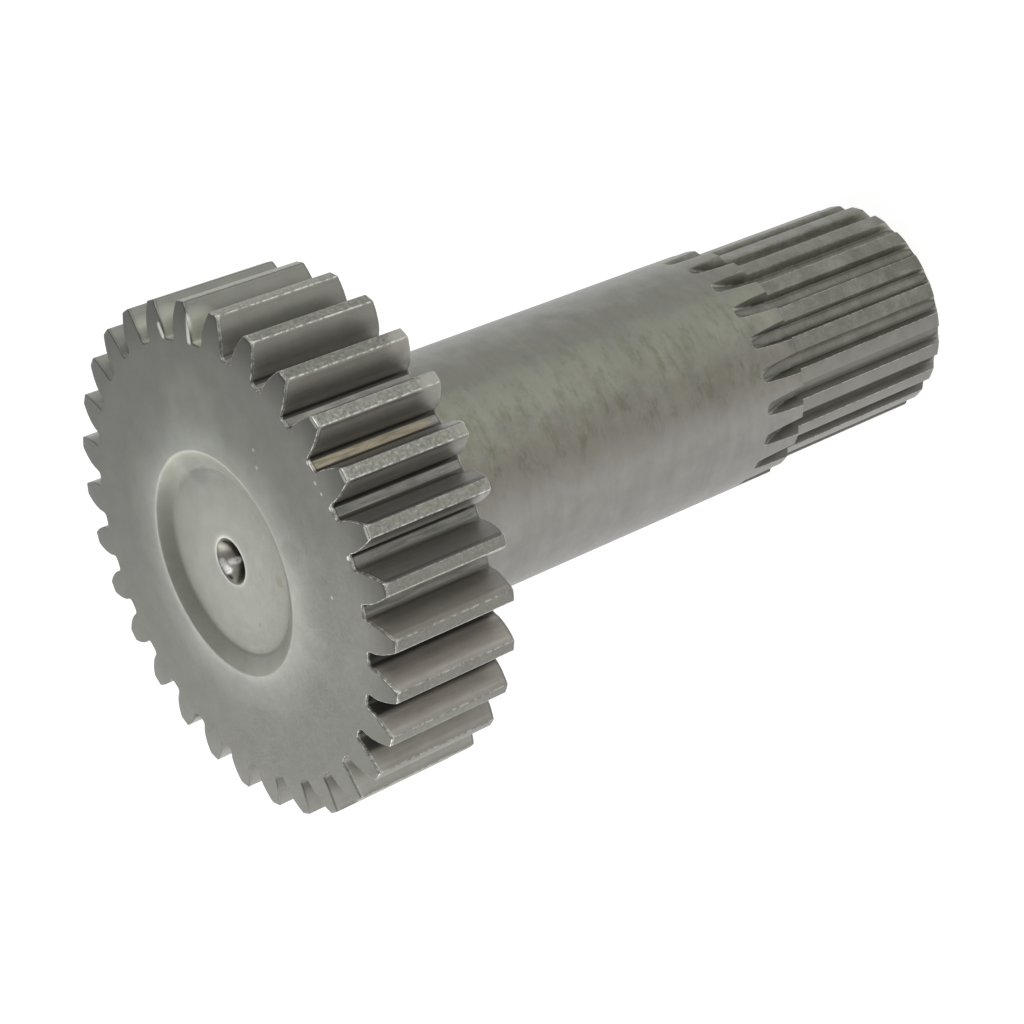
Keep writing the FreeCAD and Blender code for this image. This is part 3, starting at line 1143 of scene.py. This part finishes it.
# %% Roughness, bump and shader
rough = grey(0.5)
for share, value in ((tooth, 0.34), (on_journal, 0.42), (on_spline, 0.4), (edge, 0.3)):
    rough = g.mix(share, rough, grey(value))
rough = g.math("ADD", rough, g.spread(grain, 0.3, 0.7, -0.05, 0.05))
rough = g.mix(bare, rough, grey(0.36))
metallic = g.math("SUBTRACT", g.spread(bare, 0.0, 1.0, 0.8, 0.95), g.times(tooth, 0.55))
bump = g.tree.nodes.new("ShaderNodeBump")
bump.inputs["Strength"].default_value = 0.35
bump.inputs["Distance"].default_value = 0.00008
grain_height = g.math("ADD", g.times(grain, 0.6), g.times(fine, 0.4))
g.tree.links.new(grain_height, bump.inputs["Height"])
surface = g.tree.nodes.new("ShaderNodeBsdfPrincipled")
for name, value in (("Metallic", metallic), ("Base Color", colour), ("Roughness", rough),
                    ("Normal", bump.outputs[0])):
    g.tree.links.new(value, surface.inputs[name])
g.end("ShaderNodeOutputMaterial", surface.outputs[0])
shaft.data.materials.append(steel)
print("nodes in the steel", len(g.tree.nodes))

# %% [markdown]
# ## Floor
#
# The shaft stands on a wide pale floor. Seen by the camera or in a reflection it is
# almost white, but it still darkens where the shaft keeps light off it, because the glow
# is only mixed in with a plain matt colour.

# %% A wide pale floor
def grid_plane(name, half):
    """A flat square of faces through the origin, four by four."""
    line = np.linspace(-half, half, 5)
    xs, ys = np.meshgrid(line, line, indexing="ij")
    corners = np.stack([xs, ys, np.zeros_like(xs)], -1).reshape(-1, 3)
    i = (np.arange(4)[:, None] * 5 + np.arange(4)).ravel()
    mesh = bpy.data.meshes.new(name)
    mesh.from_pydata(corners.tolist(), [], np.stack([i, i + 5, i + 6, i + 1], -1).tolist())
    plane = bpy.data.objects.new(name, mesh)
    bpy.context.scene.collection.objects.link(plane)
    return plane


floor = grid_plane("floor", 4.0)
pale = bpy.data.materials.new("pale_floor")
pale.use_nodes = True
f = Paint(pale.node_tree)
rays = f.add("ShaderNodeLightPath").node.outputs
seen = f.most(rays["Is Camera Ray"], rays["Is Glossy Ray"], rays["Is Transmission Ray"])
matt = f.add("ShaderNodeBsdfDiffuse", grey(0.9))
glow = f.add("ShaderNodeEmission", grey(1.0), 1.45)
f.end("ShaderNodeOutputMaterial", f.add("ShaderNodeMixShader", f.times(seen, 0.6), matt, glow))
floor.data.materials.append(pale)
print("floor faces", len(floor.data.polygons))

# %% [markdown]
# ## Surroundings
#
# The world is white round the horizon and darkens towards the top, like a studio with
# pale walls and a dim ceiling. That gives the metal something to mirror.

# %% White walls and a dim ceiling
world = bpy.data.worlds.new("studio")
bpy.context.scene.world = world
world.use_nodes = True
w = Paint(world.node_tree)
direction = w.add("ShaderNodeTexCoord").node.outputs["Generated"]
rise = w.add("ShaderNodeSeparateXYZ", direction).node.outputs[2]
walls = w.ramp(rise, (0.0, 1.0), (0.3, 1.0), (0.56, 0.38), (0.8, 0.1), (1.0, 0.08))
w.end("ShaderNodeOutputWorld", w.add("ShaderNodeBackground", walls, 1.0))
print("nodes of the surroundings", len(w.tree.nodes))

# %% [markdown]
# ## Lamps
#
# Three large soft lamps light the metal at a plain level: one from behind, one from the
# side and a weaker one that fills the shadows.

# %% Soft lamps
def soft_lamp(name, place, aim, size, watts):
    """A square area lamp at a place, turned towards its aim, both in metres."""
    data = bpy.data.lights.new(name, "AREA")
    data.size, data.energy = size, watts
    lamp = bpy.data.objects.new(name, data)
    bpy.context.scene.collection.objects.link(lamp)
    back = np.asarray(place, float) - np.asarray(aim, float)
    back /= np.linalg.norm(back)
    side = np.cross((0.0, 0.0, 1.0), back)
    side /= np.linalg.norm(side)
    turned = np.column_stack([side, np.cross(back, side), back, place])
    lamp.matrix_world = Matrix(np.vstack([turned, [0, 0, 0, 1]]).tolist())


middle = (0.0, 0.0, 0.1)
soft_lamp("back_lamp", (-0.92, -0.38, 0.85), middle, 0.8, 4.2)
soft_lamp("side_lamp", (0.1, -1.1, 0.2), middle, 0.8, 6.0)
soft_lamp("fill_lamp", (0.9, 0.75, 0.35), middle, 0.5, 4.0)

# %% [markdown]
# ## Camera
#
# The picture was taken with a long lens from above the head, and the camera was rolled,
# so that the upright shaft lies across the frame. The place, the view and the roll were
# worked out from the tips of the teeth and the rims.

# %% Camera at the picture's place
camera_data = bpy.data.cameras.new("camera")
camera_data.sensor_width = 36.0
camera_data.lens = 88.576
camera_data.clip_start, camera_data.clip_end = 0.02, 20.0
camera = bpy.data.objects.new("camera", camera_data)
bpy.context.scene.collection.objects.link(camera)
right, up = np.array([0.5567, -0.3285, -0.763]), np.array([0.11495, 0.94012, -0.32089])
right /= np.linalg.norm(right)
up -= right * (up @ right)
up /= np.linalg.norm(up)
eye = np.array([394.446, 32.328, 372.255]) * MM
camera.matrix_world = Matrix(np.vstack([
    np.column_stack([right, up, np.cross(right, up), eye]), [0, 0, 0, 1]]).tolist())
bpy.context.scene.camera = camera
bpy.context.scene.view_settings.view_transform = "Standard"
print("camera at", [round(v, 3) for v in eye])

# %% [markdown]
# ## Size
#
# The skin must be as large as the solid it stands for.
